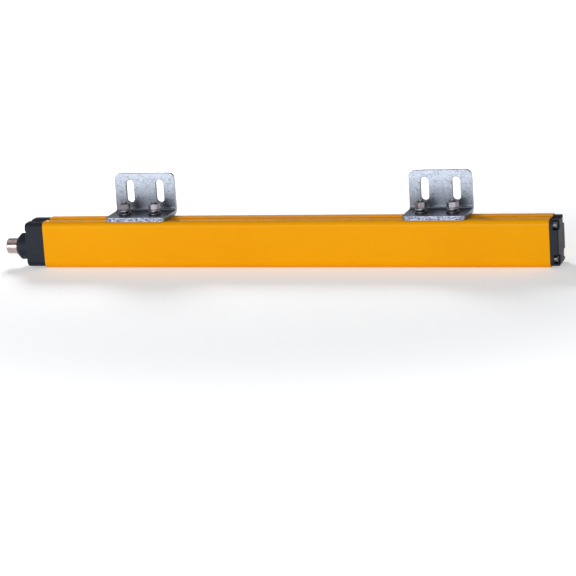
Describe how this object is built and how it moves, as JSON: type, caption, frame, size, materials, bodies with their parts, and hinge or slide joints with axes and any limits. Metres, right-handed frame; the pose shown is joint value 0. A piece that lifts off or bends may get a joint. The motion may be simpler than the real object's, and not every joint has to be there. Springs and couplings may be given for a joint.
{
  "type": "safety light curtain bar",
  "caption": "Long square safety light curtain bar with a dark window, end caps, a round cable connector and two angle brackets bolted to its T-slot.",
  "frame": {"origin": "middle of the window's outer face, on which the bar rests", "axes": "+X along the bar from the cable connector to the blind end, +Y across it towards the brackets' standing legs, +Z from the window to the T-slot"},
  "size_m": [0.5416, 0.0405, 0.085],
  "materials": {
    "orange_paint": "satin",
    "dark_window": "gloss",
    "black_nylon": "matte",
    "black_rubber": "matte",
    "nickel_brass": "satin",
    "insulator": "satin",
    "gold_contact": "polished",
    "zinc_steel": "satin",
    "screw_steel": "satin",
    "circuit_board": "satin",
    "chip": "satin",
    "lamp": "gloss",
    "clear_lens": "gloss",
    "ribbon": "matte"
  },
  "bodies": {
    "root": {"housing_profile": "orange_paint", "front_window": "dark_window", "window_seal_near": "black_rubber", "window_seal_far": "black_rubber", "connector_cap_gasket": "black_rubber", "end_cap_gasket": "black_rubber", "connector_cap": "black_nylon", "end_cap": "black_nylon", "connector_cap_screws": "screw_steel", "end_cap_screws": "screw_steel", "socket_shell": "nickel_brass", "socket_insert": "insulator", "socket_contacts": "gold_contact", "socket_ring": "black_rubber", "socket_nut": "nickel_brass", "socket_board": "circuit_board", "ribbon_link": "ribbon", "control_board": "circuit_board", "control_chips": "chip", "status_lamps": "lamp", "earth_spring": "nickel_brass", "bracket_left": "zinc_steel", "bracket_right": "zinc_steel", "bracket_bolts": "zinc_steel", "flat_washers": "zinc_steel", "spring_washers": "zinc_steel", "hex_nuts": "zinc_steel", "beam_board_1": "circuit_board", "optic_carrier_1": "chip", "lens_bar_1": "clear_lens", "beam_diodes_1": "lamp", "board_link_1": "chip", "beam_board_2": "circuit_board", "optic_carrier_2": "chip", "lens_bar_2": "clear_lens", "beam_diodes_2": "lamp", "board_link_2": "chip", "beam_board_3": "circuit_board", "optic_carrier_3": "chip", "lens_bar_3": "clear_lens", "beam_diodes_3": "lamp", "board_link_3": "chip"}
  },
  "joints": []
}
